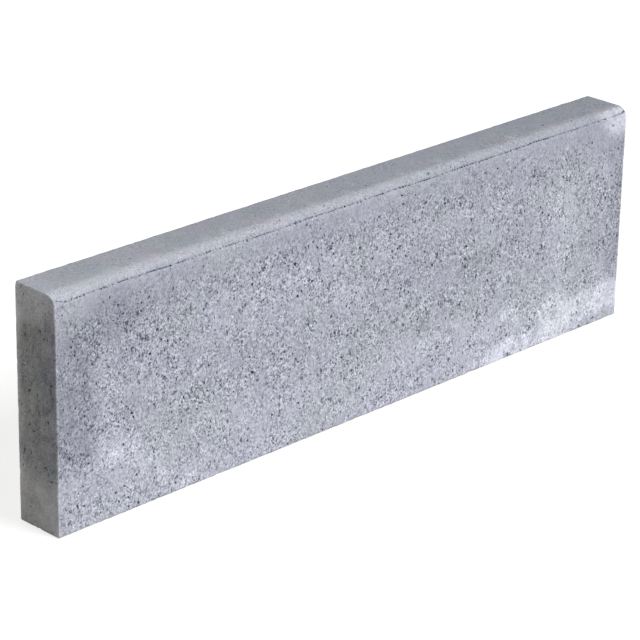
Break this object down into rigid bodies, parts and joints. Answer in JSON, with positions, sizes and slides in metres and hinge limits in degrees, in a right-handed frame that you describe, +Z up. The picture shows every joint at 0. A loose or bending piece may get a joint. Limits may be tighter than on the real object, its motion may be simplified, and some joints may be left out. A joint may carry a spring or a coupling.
{
  "type": "concrete kerb stone",
  "caption": "Straight precast concrete kerb stone that stands on its narrow bed, with a flat top and a quarter-round nose along the top of its front face.",
  "frame": {"origin": "middle of the flat bed that the kerb stands on", "axes": "+X along the kerb's length, +Y from the front face to the back face, +Z up from the bed to the top"},
  "size_m": [1, 0.07, 0.3],
  "materials": {
    "concrete": "plain grey pressed concrete, pitted on the faces, smooth on the top and nose"
  },
  "bodies": {
    "root": {"kerb_stone": "concrete"}
  },
  "joints": []
}
